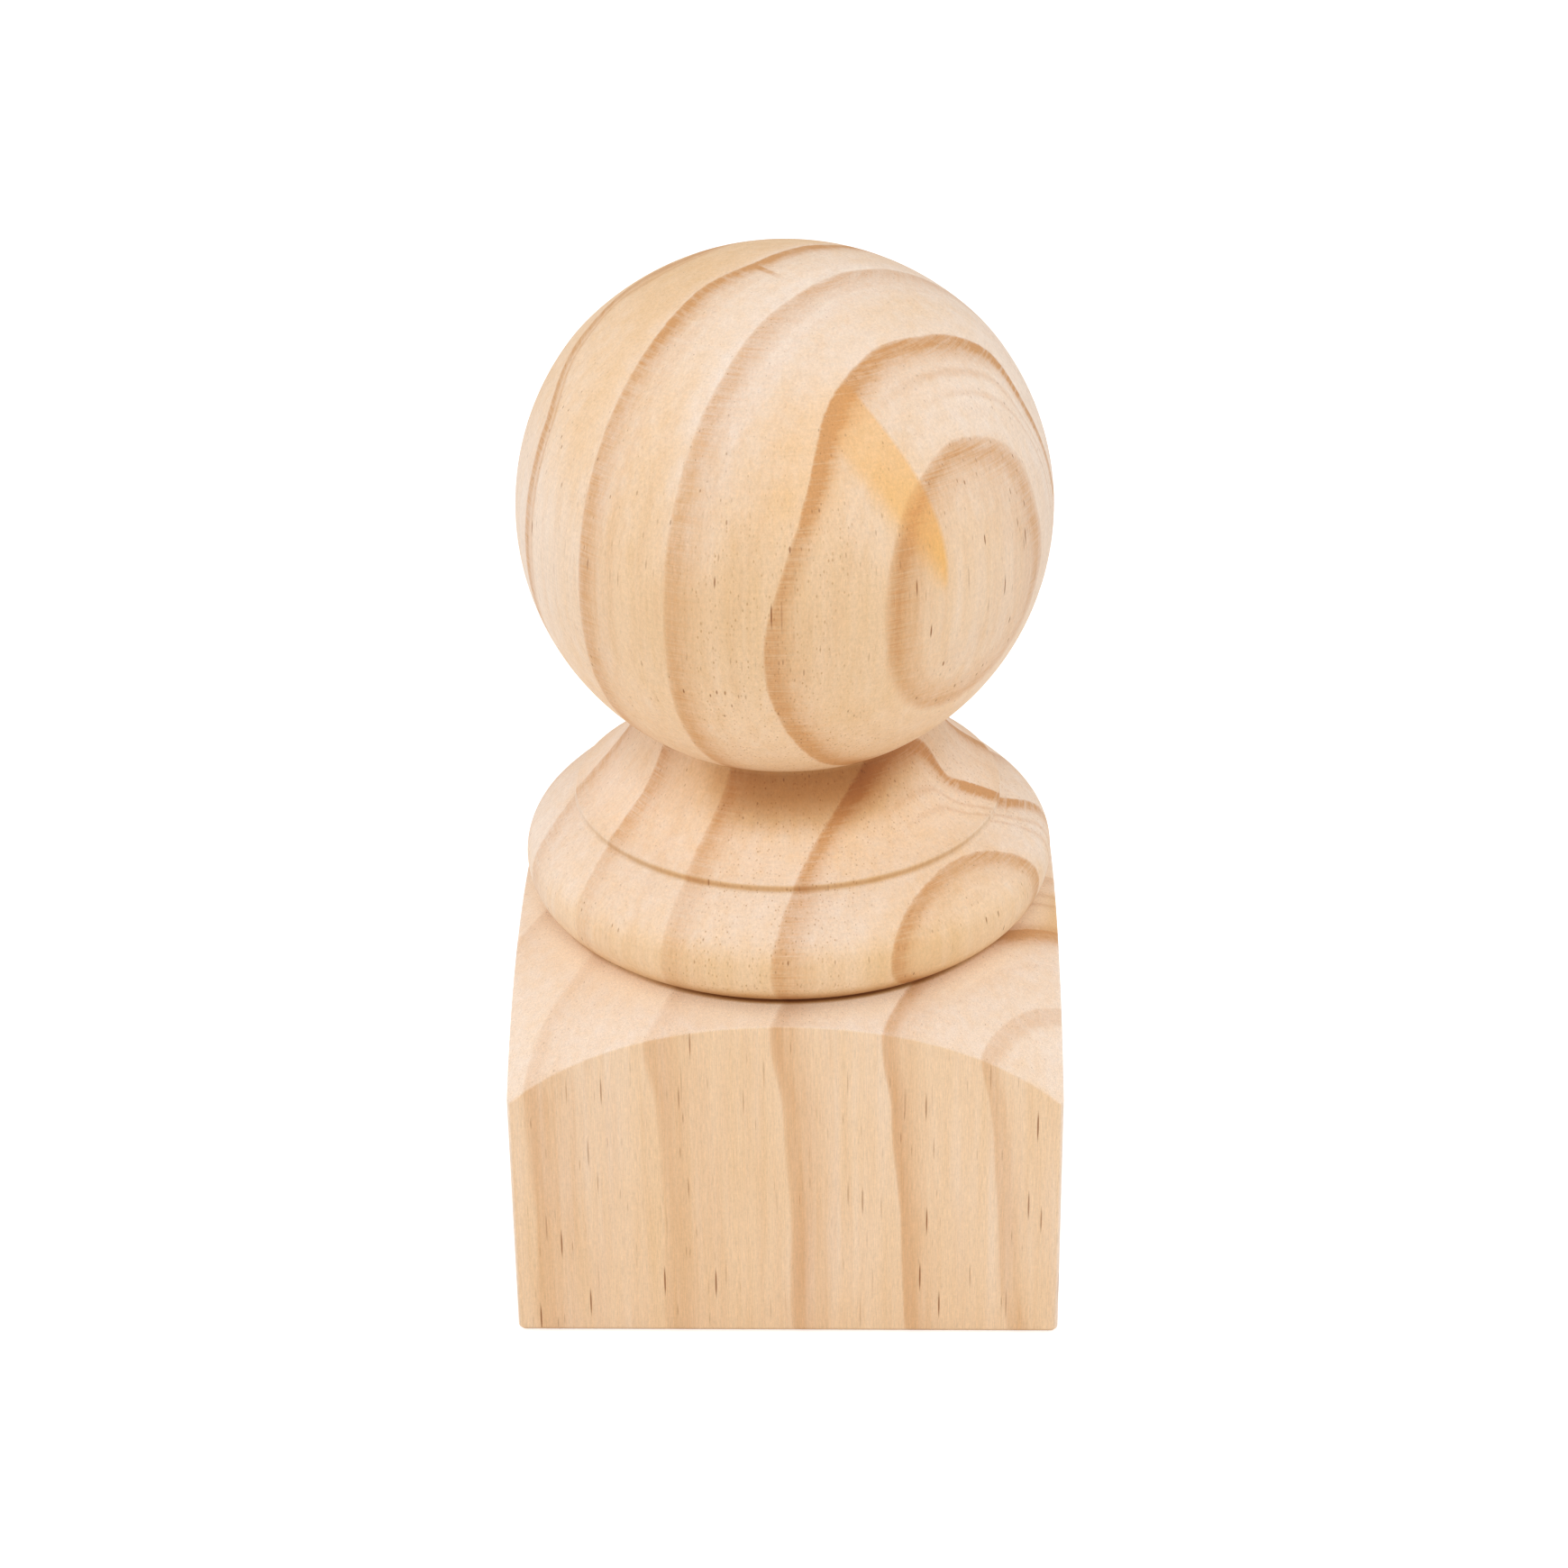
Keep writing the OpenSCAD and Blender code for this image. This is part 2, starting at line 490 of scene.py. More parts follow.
# Each table of swells below holds amounts. An amount counts where all its windows are open, and a
# window (name, outside, inside) opens smoothly as the named coordinate goes from one to the other.
# "smooth" is the distance from the pith before these swells, and "distance" is that after them.
RING_SWELLS = (
    # The fourth ring on the ball: its long side, its shoulder, its bend at the left and its right end
    (-2.4, ("z", 98.0, 122.0), ("z", 164.0, 144.0), ("smooth", 68.0, 58.0), ("across", 6.0, -8.0)),
    (-0.9, ("z", 145.0, 155.0), ("smooth", 67.0, 61.0), ("smooth", 48.0, 53.0), ("across", 6.0, -4.0)),
    (3.2, ("z", 124.0, 152.0), ("z", 164.0, 151.0), ("smooth", 44.0, 50.0), ("smooth", 66.0, 60.0),
     ("across", -8.0, -15.0)),
    (6.0, ("across", 14.0, 26.0), ("z", 164.0, 150.0), ("z", 126.0, 138.0), ("smooth", 44.0, 50.0)),
    # The arc of the third ring at its top on the ball
    (-1.6, ("z", 136.0, 149.0), ("smooth", 47.0, 42.0), ("across", -9.0, 1.0)),
    # The outer rings near the crown
    (2.8, ("across", -16.0, -2.0), ("z", 166.0, 172.0), ("smooth", 76.0, 82.0)),
    (-3.5, ("z", 150.0, 160.0), ("z", 171.0, 164.0), ("smooth", 95.0, 102.0)),
    # The kink on the right of the cove
    (4.2, ("across", 6.0, 12.0), ("z", 73.5, 80.5), ("z", 93.0, 85.5), ("smooth", 45.0, 51.0)),
    # All rings at the bead, and the outer ones once more
    (-1.1, ("z", 92.0, 82.0), ("z", 44.0, 56.0)),
    (-1.6, ("z", 88.0, 78.0), ("z", 46.0, 58.0), ("smooth", 77.0, 86.0)),
    # All rings at the foot, and the lean of the second ring down the face
    (-1.6, ("z", 26.0, 0.0)),
    (-0.8, ("z", 44.0, 4.0), ("smooth", 34.0, 30.0)),
)
# How much bolder or fainter the rings are in places
BOLDNESS_SWELLS = (
    (-0.35, ("distance", 48.0, 44.0), ("z", 128.0, 114.0), ("z", 90.0, 98.0)),
    (-0.55, ("distance", 39.4, 41.2), ("distance", 46.0, 42.0), ("z", 95.0, 105.0)),
    (-0.3, ("distance", 46.0, 50.0), ("z", 61.0, 64.0), ("z", 84.0, 77.0)),
    (0.5, ("distance", 51.0, 53.5), ("distance", 59.0, 56.5), ("z", 82.0, 90.0), ("z", 100.0, 95.0)),
    (0.4, ("distance", 51.0, 53.5), ("distance", 59.0, 56.5), ("z", 143.0, 150.0), ("z", 165.0, 160.0)),
    (-0.35, ("distance", 25.2, 24.0), ("z", 62.0, 58.0)),
    (0.4, ("distance", 78.0, 82.0), ("distance", 90.0, 87.0), ("z", 160.0, 168.0)),
)
# How much more the band of a ring keeps to its edge
SHARPNESS_SWELLS = (
    (1.0, ("distance", 46.0, 42.0), ("z", 60.5, 64.0), ("z", 84.0, 79.0)),
    (2.5, ("distance", 86.6, 90.0), ("z", 96.0, 104.0)),
    (1.2, ("distance", 46.0, 50.0), ("distance", 59.0, 56.5), ("z", 126.0, 140.0), ("z", 160.0, 154.0)),
    (1.4, ("distance", 46.0, 50.0), ("distance", 59.0, 56.5), ("z", 78.0, 83.0), ("z", 98.0, 95.0)),
)
# Where scratches show most in the latewood: at the kink on the right of the cove
WORN = (1.0, ("distance", 52.0, 54.0), ("across", 12.0, 15.0), ("z", 70.0, 76.0), ("z", 90.0, 86.0))
WORN_SCRATCHES = (0.3, 0.7, 0.6, 2.4)
# How far scratches, fibres, fine fibres and layers make the latewood uneven
SCRATCHED_RING = 1.0
FIBROUS_RING = 0.25
FINE_RING = 0.1
LAYERED_RING = 0.2
# The rings fade where the wood is pale, and outwards over the dome
PALE_FADE = (0.3, 0.9, 1.0, 0.75)
DOME_FADE = (44.0, 60.0)
DOME_FADE_SHARE = 0.4
# A darker rim to the third ring, where it runs over the dome at the right
DARK_RIM = (0.5, ("distance", 37.0, 39.5), ("distance", 43.0, 41.4), ("z", 65.0, 62.5), ("z", 55.5, 58.5),
            ("across", 6.0, 13.0))
# Faint lines part of the way through a ring: distance from the pith and width of each, then the
# coordinate they grow bolder along, its first and last value, and how bold they are at the last
FALSE_RINGS = (
    (50.0, 1.0, "across", -8.0, 4.0, 0.3),
    (47.3, 0.8, "across", -4.0, 6.0, 0.3),
    (98.3, 0.5, "z", 115.0, 140.0, 0.45),
)
# The small dark tick at the top of the ball: its place across the rings, and where it is kept to
TICK_ACROSS = -5.2
TICK_EDGE = (0.8, 0.2)
TICK = (0.7, ("distance", 75.0, 82.0), ("distance", 86.0, 84.0), ("z", 170.5, 171.5))

# ---------------------------------------------------------------- pine: pale and golden wood

# Wood is paler in patches and on the dome, and less so at the top; it is also painted paler where it
# faces up or to the side, which is painted light
PAINTED_LIGHT_FACING_UP = (0.2, 0.85, 0.38, 0.75)
PAINTED_LIGHT_FACING_SIDE = (0.45, 0.95, 0.0, 0.6)
PALE_PATCHES = (0.35, 0.65, -0.12, 0.12)
PALE_TOP = (128.0, 150.0, 0.0, -0.05)
PALE_DOME = 0.02
PALE_RIBBONS = 0.3
PALENESS_SWELLS = (
    # The cove, the bead and the lower half of the ball are more golden
    (-0.15, ("z", 78.0, 82.0), ("z", 98.0, 90.0)),
    (-0.22, ("z", 61.0, 63.0), ("z", 75.0, 70.0)),
    (-0.13, ("z", 90.0, 100.0), ("z", 150.0, 128.0)),
    # A paler ring and a golden side at the top of the ball
    (0.25, ("distance", 63.0, 67.0), ("distance", 76.0, 72.0), ("z", 132.0, 142.0)),
    (-0.5, ("distance", 84.0, 90.0), ("z", 135.0, 155.0)),
    # The heart of the oval on the bead, and golden wood at the right edge of the dome
    (-0.2, ("distance", 45.0, 39.0), ("z", 60.0, 64.0), ("z", 84.0, 79.0)),
    (-1.0, ("distance", 40.0, 41.4), ("distance", 53.0, 48.0), ("across", 12.0, 20.0), ("z", 67.0, 64.0),
     ("z", 5.0, 62.0)),
)
# Lightness: scratches in turned wood, then grit, fine fibres and a base, each sawn and turned
SCRATCH_VALUE = 0.14
GRIT_VALUE = (0.3, 0.36)
FINE_VALUE = (0.5, 0.1)
BASE_VALUE = (0.85, 0.82)
# How much lighter or darker the wood is in places, on top of that
VALUE_SWELLS = (
    (0.045, ("z", 79.5, 83.0), ("z", 122.0, 106.0)),
    (-0.035, ("z", 112.0, 132.0)),
)

# ---------------------------------------------------------------- pine: resin

# The streak's edges, as power sums of the drop below its top: how far to the right each one lies
STREAK_TOP = 162.0
STREAK_RIGHT = (11.5, 1.03, -0.0185)
STREAK_LEFT = (1.0, 1.1, -0.0095)
# How its edges fade, how it keeps to the front of the ball and to its ring, and how it ends
STREAK_RIGHT_FADE = (-0.1, 0.6)
STREAK_LEFT_FADE = (-2.0, 3.0)
STREAK_FRONT = (-8.0, -12.0)
STREAK_RING = (57.2, 54.0)
STREAK_DEEPENS = (6.0, 26.0, 0.7, 1.15)
STREAK_END = (31.0, 28.5)
STREAK_STRENGTH = 0.85
# Wood beside the streak that is tinged with resin
GLOW = (0.3, ("distance", 66.0, 57.5), ("distance", 48.0, 54.0), ("z", 140.0, 150.0), ("z", 167.0, 158.0),
        ("x", 18.0, 8.0))

# ---------------------------------------------------------------- pine: texture

# Noise: how closely it varies across the grain and up it, its detail and its roughness
PATCH = (0.035, 0.02, 2.0, 0.5)
FIBRE = (1.5, 0.03, 3.0, 0.7)
FINE = (7.0, 0.35, 2.0, 0.6)
SCRATCH = (0.12, 3.2, 3.0, 0.7)
RIBBON = (0.5, 0.02, 2.0, 0.6)
GRIT = (2.6, 1.3, 2.0, 0.8)
NOISE_MEAN = 0.5
# Noise that follows the rings: through them and along them, with its detail and roughness
LAYER = (0.55, 0.02, 3.0, 0.6)
# Tubes: how closely they lie across the grain and up it, and the radii at which one fades out
DASHES = (0.95, 0.05, 0.09, 0.17)
HAIRS = (0.4, 0.013, 0.02, 0.055)
TICKS = (1.7, 0.14, 0.08, 0.2)
SPECKS = (1.7, 0.8, 0.14, 0.28)
# Dashes lie in the outer part of a ring, most of them are faint, and they fade on level faces
DASH_IN_RING = (0.1, 0.6, 0.3, 1.0)
DASH_STRENGTH = (0.25, 0.8, 0.0, 0.9)
DASH_LEVEL = (0.3, 0.75, 1.0, 0.3)
HAIR_STRENGTH = 0.7
TICK_STRENGTH = (0.55, 1.0, 0.0, 0.7)
TICK_IN_RING = (0.0, 0.5, 0.4, 1.0)
SPECK_IN_RING = 0.2
# Where the specks crowd: between the third and the fifth ring, below the top of the ball
SPECK_CROWD = (0.65, ("distance", 41.0, 50.0), ("distance", 73.0, 66.0), ("z", 156.0, 138.0))
# Relief: fibres, fine fibres, scratches and dashes
FIBRE_RELIEF = 0.03
FINE_RELIEF = 0.02
SCRATCH_RELIEF = 0.04
DASH_RELIEF = -0.06
BUMP_STRENGTH = 0.35
# Roughness from earlywood to latewood
WOOD_ROUGHNESS = (0.0, 1.0, 0.7, 0.6)
WOOD_IOR = 1.4

# ---------------------------------------------------------------- pine: turned wood, painted shade and painted light

# Heights between which the sawn block gives way to turned wood
TURNED = (62.0, 64.0)
# Radius and height of the neck under the ball, the crease under the bead, and the step above it
NECK = (22.5, 92.0)
CREASE = (39.8, 62.1)
STEP = (35.5, 79.9)
# The domed top of the block: how far it faces up, and the heights it lies below
DOME_FACING_UP = (0.4, 0.8)
DOME_BELOW = (66.0, 62.0)
# Painted shade is strongest a little right of the axis: how it fades aside in the neck and the crease
PAINTED_SHADE_MIDDLE = 4.0
NECK_ASIDE = (8.0, 18.0, 1.25, 0.3)
CREASE_ASIDE = (10.0, 28.0, 1.0, 0.25)
# How far the painted shade reaches from each circle, and the heights at which it starts
NECK_REACH = 10.5
NECK_START = (96.0, 93.8, 0.1, 0.85)
CREASE_REACH = 5.5
CREASE_START = (61.9, 62.2)
GROOVE_REACH = 1.3
GROOVE_STRENGTH = 2.0
STEP_REACH = 0.9
STEP_ALONG = (6.0, 28.0, 0.0, 0.38)
# Painted light: the dome is made brighter beside the crease, against the bead's shade; how far out, and
# how that starts
PAINTED_CREASE_LIGHT = (0.7, ("z", 62.4, 61.9))
PAINTED_LIGHT_REACH = 9.0
PAINTED_LIGHT_EDGE = (0.1, 0.8)


class Pine(Tree):
    """The wood. Its attributes are sockets that say where on the cap the shader is, in millimetres."""

    def __init__(self):
        super().__init__("pine")
        spots = self.node("ShaderNodeTexCoord").outputs
        mm = self.node("ShaderNodeVectorMath", {0: spots["Object"], 1: (1 / MM,) * 3},
                       operation="MULTIPLY")
        self.x, self.y, self.z = self.node("ShaderNodeSeparateXYZ", {0: mm.outputs[0]}).outputs
        self.side, _, self.up = self.node("ShaderNodeSeparateXYZ", {0: spots["Normal"]}).outputs
        self.radius = self.math("SQRT", self.add(self.times(self.x, self.x), self.times(self.y, self.y)))
        self.across = self.times(self.add(self.x, self.y), HALF_ROOT)
        self.smooth = self.smooth_distance()
        self.distance = self.add(self.smooth, self.swells(RING_SWELLS), self.wander(*SLOW_WANDER),
                                 self.wander(*QUICK_WANDER))
        self.turned = self.map(self.z, *TURNED)
        self.dome = self.times(self.map(self.up, *DOME_FACING_UP), self.map(self.z, *DOME_BELOW))
        self.patch, self.fibre, self.fine, self.scratch, self.ribbon, self.grit = (
            self.texture(*sizes) for sizes in (PATCH, FIBRE, FINE, SCRATCH, RIBBON, GRIT))

    def swell(self, amount, *windows):
        """An amount that counts where every window (coordinate, outside, inside) is open."""
        for place, outside, inside in windows:
            value = getattr(self, place) if isinstance(place, str) else place
            amount = self.times(self.map(value, outside, inside, smooth=True), amount)
        return amount

    def swells(self, table):
        """The sum of a table's swells."""
        return self.add(*(self.swell(*row) for row in table))

    def stretched(self, flat, tall):
        """Coordinates whose pattern is longer up the grain where tall is smaller than flat."""
        return self.vector(self.times(self.x, flat), self.times(self.y, flat), self.times(self.z, tall))

    def texture(self, flat, tall, detail, roughness):
        """Noise between 0 and 1 about its mean, in stretched coordinates."""
        return self.noise(self.stretched(flat, tall), detail, roughness)

    def wander(self, flat, tall, reach):
        """An unevenness of the rings, up to about the given reach."""
        return self.centred(self.noise(self.stretched(flat, tall)), reach)

    def smooth_distance(self):
        """Distance from the pith, which leans and bends a little on its way up the block."""
        towards = self.times(self.math("SUBTRACT", self.x, self.y), HALF_ROOT)
        rise = self.line(self.z, 1 / SPAN, -HALF_HEIGHT / SPAN)
        a = self.math("SUBTRACT", towards, self.power_sum(rise, PITH_TOWARDS))
        b = self.math("SUBTRACT", self.across, self.power_sum(rise, PITH_ACROSS))
        return self.add(self.hypot(a, b), self.power_sum(self.times(self.across, 1 / SPAN), RING_BOW))

    def ring_darkness(self):
        """Latewood from 0 to about 1, and how far out through its ring the wood is."""
        count, far = len(RING_EDGES), RING_EDGES[-1]
        stops = [(0.0, 0.0)] + [(edge / far, (k + 1) / count) for k, edge in enumerate(RING_EDGES)]
        fraction = self.times(self.distance, 1 / far)
        through = self.math("FRACT", self.times(self.ramp(fraction, stops), count))
        broad = self.times(self.map(self.distance, *BROAD_OUTWARDS), self.map(self.z, *BROAD_DOWNWARDS))
        tone = self.mix(broad, self.ramp(through, NARROW_BAND), self.ramp(through, BROAD_BAND))
        bold = self.times(self.ramp(fraction, RING_BOLDNESS), self.map(self.patch, *PATCH_BOLDNESS),
                          self.map(self.z, *BLOCK_BOLDNESS))
        bold = self.add(bold, self.swells(BOLDNESS_SWELLS))
        sharp = self.add(self.swells(SHARPNESS_SWELLS), 1.0)
        return self.times(self.power(tone, sharp), bold), through

    def false_ring(self, at, width, place, start, end, strength):
        """A faint line part of the way through a ring, which grows bolder along a coordinate."""
        near = self.map(self.apart(self.distance, at), 0.0, width, 1.0, 0.0, smooth=True)
        return self.times(near, self.map(getattr(self, place), start, end, 0.0, strength))

    def latewood(self, late):
        """The rings' latewood with worn places, faint lines, the tick and the unevenness of fibres."""
        through, along, detail, roughness = LAYER
        layer = self.noise(self.vector(self.times(self.distance, through), self.times(self.across, along),
                                       self.times(self.z, along)), detail, roughness)
        tick = self.swell(*TICK, (self.apart(self.across, TICK_ACROSS), *TICK_EDGE))
        return self.add(
            late,
            self.times(late, self.swell(*WORN), self.map(self.scratch, *WORN_SCRATCHES)),
            self.times(late, self.turned, self.centred(self.scratch, SCRATCHED_RING)),
            self.swell(*DARK_RIM), tick, *(self.false_ring(*line) for line in FALSE_RINGS),
            self.centred(self.fibre, FIBROUS_RING), self.centred(self.fine, FINE_RING),
            self.centred(layer, LAYERED_RING))

    def paleness_and_painted_light(self):
        """How pale the earlywood is, with painted light: most on faces that look up or to the side."""
        return self.add(
            # Painted light: faces that look up or to the side are made paler
            self.map(self.up, *PAINTED_LIGHT_FACING_UP), self.map(self.size_of(self.side), *PAINTED_LIGHT_FACING_SIDE),
            self.map(self.patch, *PALE_PATCHES), self.map(self.z, *PALE_TOP),
            self.times(self.dome, PALE_DOME), self.centred(self.ribbon, PALE_RIBBONS),
            self.swells(PALENESS_SWELLS))

    def resin_streak(self):
        """A wedge of resin-soaked wood on the front of the ball, ending in a point lower down."""
        drop = self.math("SUBTRACT", STREAK_TOP, self.z)
        to_right = self.math("SUBTRACT", self.power_sum(drop, STREAK_RIGHT), self.x)
        to_left = self.math("SUBTRACT", self.x, self.power_sum(drop, STREAK_LEFT))
        return self.times(
            self.map(to_right, *STREAK_RIGHT_FADE), self.map(to_left, *STREAK_LEFT_FADE, smooth=True),
            self.map(self.y, *STREAK_FRONT), self.map(self.distance, *STREAK_RING),
            self.map(drop, *STREAK_DEEPENS), self.map(drop, *STREAK_END), STREAK_STRENGTH)

    def near_circle(self, at, reach):
        """1 on a circle round the axis, at the given radius and height, down to 0 a reach away."""
        away = self.hypot(self.math("SUBTRACT", self.radius, at[0]), self.math("SUBTRACT", self.z, at[1]))
        return self.map(away, 0.0, reach, 1.0, 0.0, smooth=True)

    def timber(self, late, pale_and_lit):
        """The colour of clear wood, soaked with resin in the streak, with painted light on the dome by
        the crease.
        """
        resin = self.most(self.swell(*GLOW), self.resin_streak())
        clear = self.ramp(self.times(pale_and_lit, EARLYWOOD_SCALE), EARLYWOOD_RANGE)
        early = self.mix(resin, clear, RESIN)
        # Painted light: the dome beside the crease is made brighter, against the bead's shade
        painted_light = self.swell(*PAINTED_CREASE_LIGHT, (self.near_circle(CREASE, PAINTED_LIGHT_REACH), *PAINTED_LIGHT_EDGE))
        early = self.mix(painted_light, early, PAINTED_LIGHT_WOOD)
        return self.mix(self.most(late, 0.0), early, self.mix(resin, LATEWOOD, RESIN_LATEWOOD))

    def tubes(self, flat, tall, thin, thick):
        """Tubes along the grain: dashes on upright faces, specks where the surface cuts across."""
        cells = self.node("ShaderNodeTexVoronoi", {"Vector": self.stretched(flat, tall), "Scale": 1.0},
                          feature="F1")
        near = self.map(cells.outputs["Distance"], thin, thick, 1.0, 0.0)
        return near, self.node("ShaderNodeSeparateColor", {0: cells.outputs["Color"]}).outputs[0]

    def dashes(self, through):
        """Resin canals, mostly in the outer half of a ring, and faint where the face looks up."""
        near, strength = self.tubes(*DASHES)
        return self.times(near, self.map(through, *DASH_IN_RING), self.map(strength, *DASH_STRENGTH),
                          self.map(self.size_of(self.up), *DASH_LEVEL))

    def canals(self, late, dashes):
        """Everything drawn in the canals' colour: dashes, long hairs, and ticks in the latewood."""
        hairs, hair_strength = self.tubes(*HAIRS)
        ticks, tick_strength = self.tubes(*TICKS)
        ticks = self.times(ticks, self.map(tick_strength, *TICK_STRENGTH), self.map(late, *TICK_IN_RING))
        return self.most(dashes, self.times(hairs, hair_strength, HAIR_STRENGTH), ticks)

    def specks(self, late):
        """Small dark points on the turned wood."""
        near, strength = self.tubes(*SPECKS)
        crowd = self.add(self.swell(*SPECK_CROWD), self.times(late, SPECK_IN_RING))
        return self.times(near, strength, crowd, self.turned)

    def painted_shade(self):
        """How much painted shade darkens the wood: in the neck under the ball, at the crease under the
        bead and at the step.
        """
        aside = self.apart(self.x, PAINTED_SHADE_MIDDLE)
        middle = self.map(aside, *CREASE_ASIDE)
        neck = self.times(self.near_circle(NECK, NECK_REACH), self.map(self.z, *NECK_START),
                          self.map(aside, *NECK_ASIDE))
        crease = self.times(self.near_circle(CREASE, CREASE_REACH), self.map(self.z, *CREASE_START),
                            middle)
        groove = self.times(self.near_circle(CREASE, GROOVE_REACH), middle, GROOVE_STRENGTH)
        step = self.times(self.near_circle(STEP, STEP_REACH), self.map(self.size_of(self.y), *STEP_ALONG))
        return self.most(neck, crease, groove, step)

    def by_surface(self, sawn, turned):
        """One value on the sawn block and another on turned wood."""
        return self.map(self.turned, 0.0, 1.0, sawn, turned)

    def value(self):
        """Lightness about 1: scratches, grit and fine fibres, and parts that are lighter or darker."""
        return self.add(
            self.by_surface(*BASE_VALUE), self.swells(VALUE_SWELLS),
            self.times(self.turned, self.math("SUBTRACT", self.scratch, NOISE_MEAN), SCRATCH_VALUE),
            self.times(self.math("SUBTRACT", self.fine, NOISE_MEAN), self.by_surface(*FINE_VALUE)),
            self.times(self.grit, self.by_surface(*GRIT_VALUE)))

    def bump(self, dashes):
        """The surface's fine relief, as a normal."""
        height = self.add(self.times(self.fibre, FIBRE_RELIEF), self.times(self.fine, FINE_RELIEF),
                          self.times(self.turned, self.scratch, SCRATCH_RELIEF),
                          self.times(dashes, DASH_RELIEF))
        return self.node("ShaderNodeBump", {"Height": height, "Strength": BUMP_STRENGTH,
                                            "Distance": MM}).outputs[0]


def pine():
    """The wood's material, from its rings to its roughness."""
    wood = Pine()
    late, through = wood.ring_darkness()
    pale_and_lit = wood.paleness_and_painted_light()
    over_dome = wood.times(wood.dome, wood.map(wood.distance, *DOME_FADE))
    late = wood.times(wood.latewood(late), wood.map(pale_and_lit, *PALE_FADE),
                      wood.line(over_dome, -DOME_FADE_SHARE, 1.0))
    dashes = wood.dashes(through)
    colour = wood.timber(late, pale_and_lit)
    colour = wood.mix(wood.canals(late, dashes), colour, CANAL)
    colour = wood.mix(wood.specks(late), colour, SPECK)
    # Painted shade in the neck, the crease under the bead and the step, where shade falls
    painted_shade_amount = wood.painted_shade()
    tint = wood.vector(*(wood.power(share, painted_shade_amount) for share in PAINTED_SHADE_TINT))
    colour = wood.mix(1.0, colour, tint, blend="MULTIPLY")
    value = wood.value()
    colour = wood.mix(1.0, colour, wood.vector(value, value, value), blend="MULTIPLY")
    rough = wood.map(late, *WOOD_ROUGHNESS)
    bsdf = wood.node("ShaderNodeBsdfPrincipled",
                     {"Base Color": colour, "Roughness": rough, "IOR": WOOD_IOR,
                      "Normal": wood.bump(dashes)})
    wood.node("ShaderNodeOutputMaterial", {"Surface": bsdf.outputs[0]})
    return wood.material


# ---------------------------------------------------------------- stage, lights and camera

WHITE = (1.0, 1.0, 1.0, 1.0)
# Half the floor's width in metres, its colour, and how much brighter the camera sees it than it is lit
FLOOR_REACH = 3.0
FLOOR_WHITE = (0.85, 0.85, 0.85, 1.0)
FLOOR_GLOW = 0.45
WORLD_STRENGTH = 0.6
# Name, position, width and height in metres, and watts; each lamp points at the middle of the cap
CAP_MIDDLE = (0.0, 0.0, 0.09)
SOFTBOXES = (
    ("left_box", (-0.75, 0.15, 0.3), 0.7, 0.9, 2.0),
    ("right_box", (0.75, 0.15, 0.3), 0.7, 0.9, 1.45),
    ("top_box", (0.0, 0.05, 0.95), 0.8, 0.8, 1.5),
    ("front_box", (0.0, -0.8, 0.6), 1.0, 0.6, 3.4),
)
# The photograph's viewpoint, fitted to the cap's outline
CAMERA_TURN = math.radians(1.571)
CAMERA_RISE = math.radians(28.5)
CAMERA_ROLL = math.radians(-0.732)
CAMERA_DISTANCE = 633.1
CAMERA_AIM = Vector((-0.674, 0.0, 79.71))
CAMERA_LENS = 86.85
SENSOR = 36.0
CAMERA_CLIP = (0.01, 20.0)


def flat_material(name, colour, camera_glow):
    """Matt material that camera, glossy and transmitted rays see a little brighter than it is lit."""
    t = Tree(name)
    path = t.node("ShaderNodeLightPath").outputs
    seen = t.most(path["Is Camera Ray"], path["Is Glossy Ray"], path["Is Transmission Ray"])
    matt = t.node("ShaderNodeBsdfDiffuse", {"Color": colour})
    glow = t.node("ShaderNodeEmission", {"Strength": t.times(seen, camera_glow)})
    both = t.node("ShaderNodeAddShader", {0: matt.outputs[0], 1: glow.outputs[0]})
    t.node("ShaderNodeOutputMaterial", {"Surface": both.outputs[0]})
    return t.material


def floor():
    """A white floor under the cap."""
    far = FLOOR_REACH
    mesh = bpy.data.meshes.new("floor")
    mesh.from_pydata([(-far, -far, 0), (far, -far, 0), (far, far, 0), (-far, far, 0)], [], [(0, 1, 2, 3)])
    plane = bpy.data.objects.new("floor", mesh)
    bpy.context.scene.collection.objects.link(plane)
    mesh.materials.append(flat_material("white_floor", FLOOR_WHITE, FLOOR_GLOW))


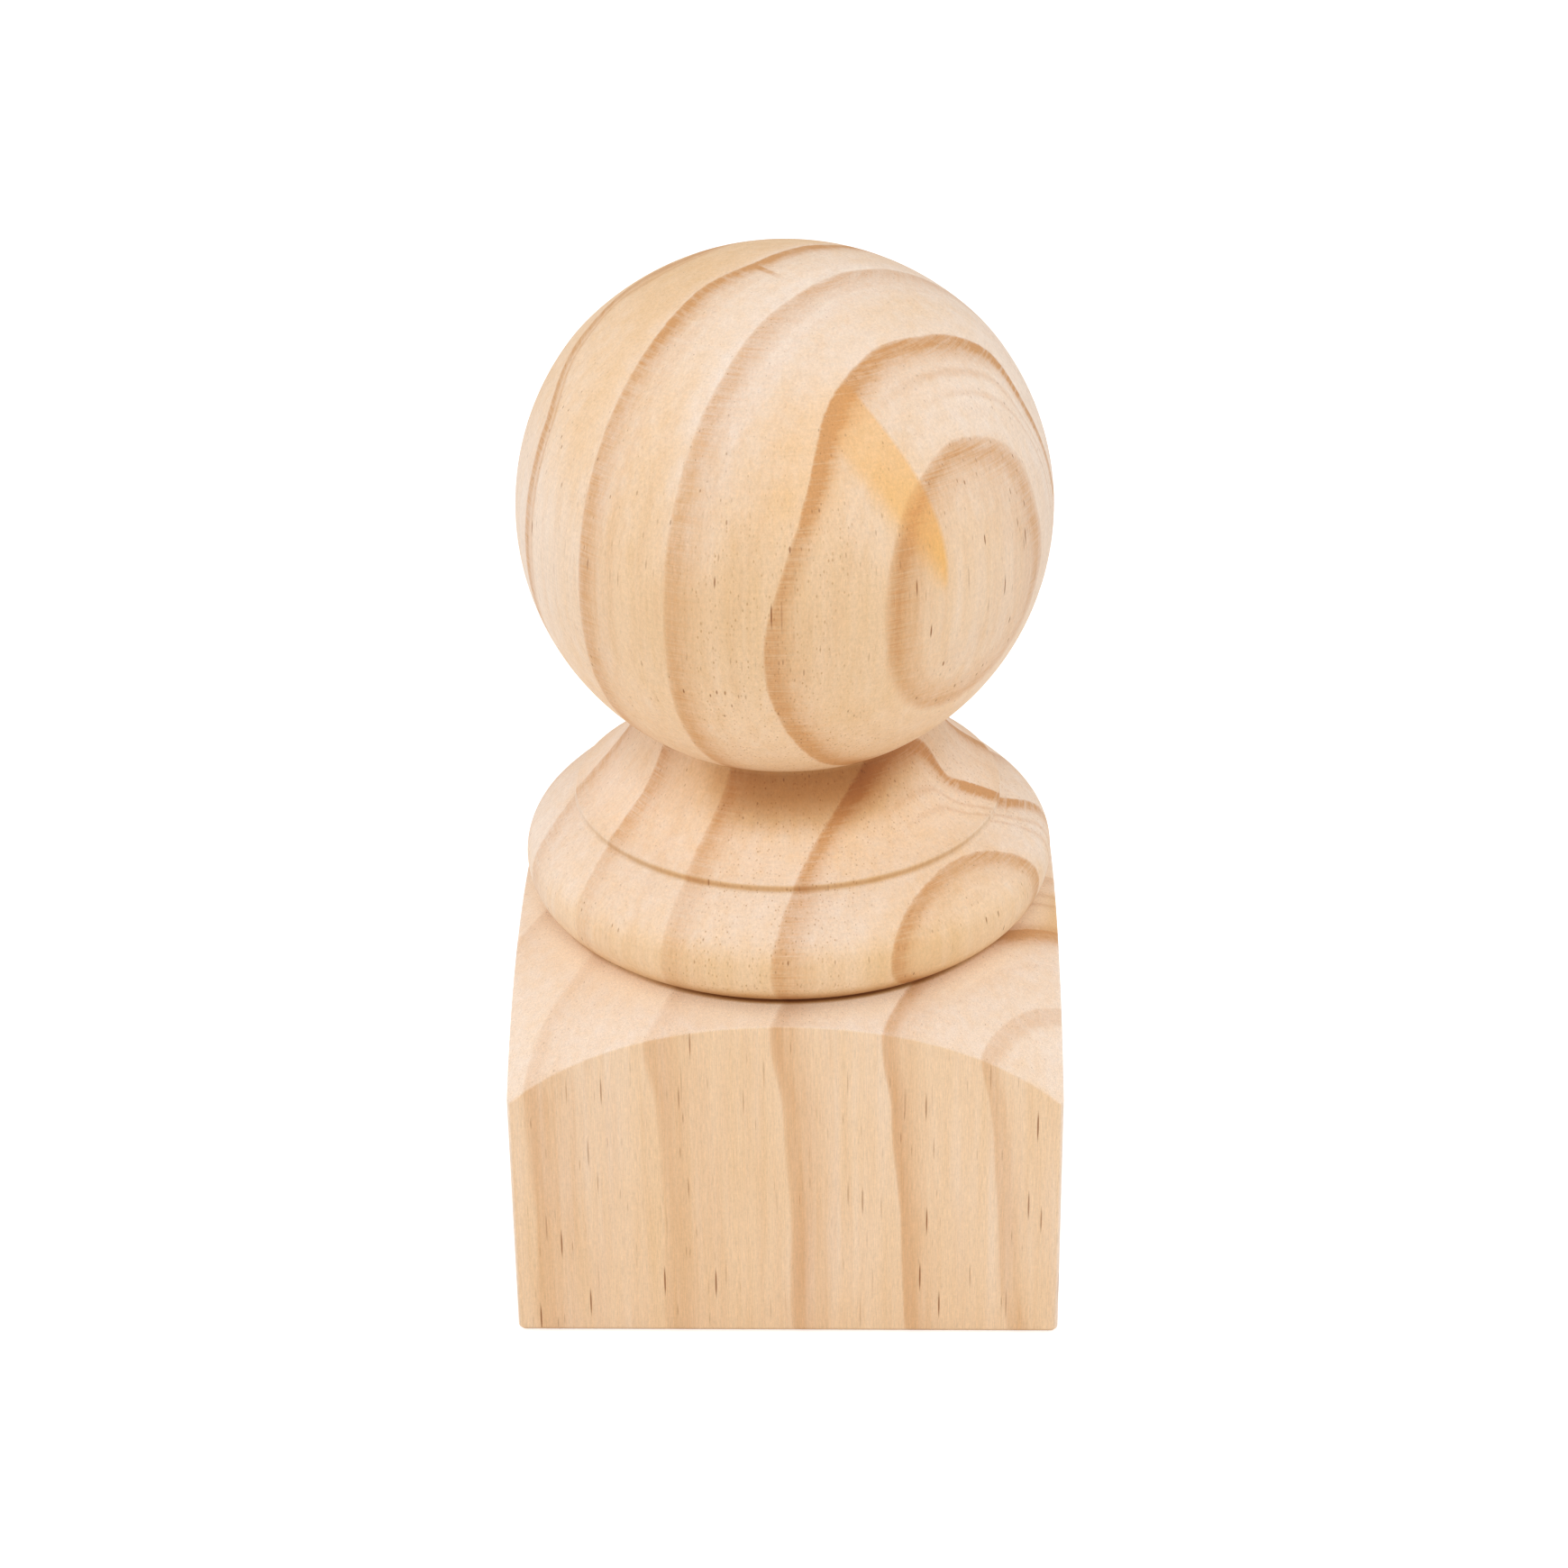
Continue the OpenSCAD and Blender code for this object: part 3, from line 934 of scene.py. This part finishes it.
def world(strength):
    """White to the camera, and a softer white light on the cap."""
    made = bpy.data.worlds.new("studio")
    bpy.context.scene.world = made
    made.use_nodes = True
    nodes, links = made.node_tree.nodes, made.node_tree.links
    nodes.clear()
    path = nodes.new("ShaderNodeLightPath")
    level = nodes.new("ShaderNodeMapRange")
    level.inputs["To Min"].default_value = strength
    level.inputs["To Max"].default_value = 1.0
    links.new(path.outputs["Is Camera Ray"], level.inputs["Value"])
    back = nodes.new("ShaderNodeBackground")
    back.inputs["Color"].default_value = WHITE
    links.new(level.outputs[0], back.inputs["Strength"])
    out = nodes.new("ShaderNodeOutputWorld")
    links.new(back.outputs[0], out.inputs["Surface"])


def softbox(name, position, width, height, watts):
    """A rectangular lamp that points at the middle of the cap."""
    lamp = bpy.data.lights.new(name, "AREA")
    lamp.shape, lamp.size, lamp.size_y, lamp.energy = "RECTANGLE", width, height, watts
    made = bpy.data.objects.new(name, lamp)
    bpy.context.scene.collection.objects.link(made)
    made.location = position
    made.rotation_euler = (Vector(CAP_MIDDLE) - Vector(position)).to_track_quat("-Z", "Y").to_euler()


def camera():
    """The photograph's viewpoint."""
    turn, rise, roll = CAMERA_TURN, CAMERA_RISE, CAMERA_ROLL
    back = Vector((math.sin(turn) * math.cos(rise), -math.cos(turn) * math.cos(rise), math.sin(rise)))
    right = Vector((0, 0, 1)).cross(back).normalized()
    up = back.cross(right)
    side = right * math.cos(roll) + up * math.sin(roll)
    top = up * math.cos(roll) - right * math.sin(roll)
    data = bpy.data.cameras.new("camera")
    data.sensor_width = data.sensor_height = SENSOR
    data.lens = CAMERA_LENS
    data.clip_start, data.clip_end = CAMERA_CLIP
    made = bpy.data.objects.new("camera", data)
    place = Matrix.Translation((CAMERA_AIM + back * CAMERA_DISTANCE) * MM)
    made.matrix_world = place @ Matrix((side, top, back)).transposed().to_4x4()
    bpy.context.scene.collection.objects.link(made)
    bpy.context.scene.camera = made


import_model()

camera()
world(WORLD_STRENGTH)
for box in SOFTBOXES:
    softbox(*box)
floor()

cap = cap_mesh()
cap.data.materials.append(pine())
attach(cap, "root")
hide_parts("post_cap")

bpy.context.scene.view_settings.view_transform = "Standard"
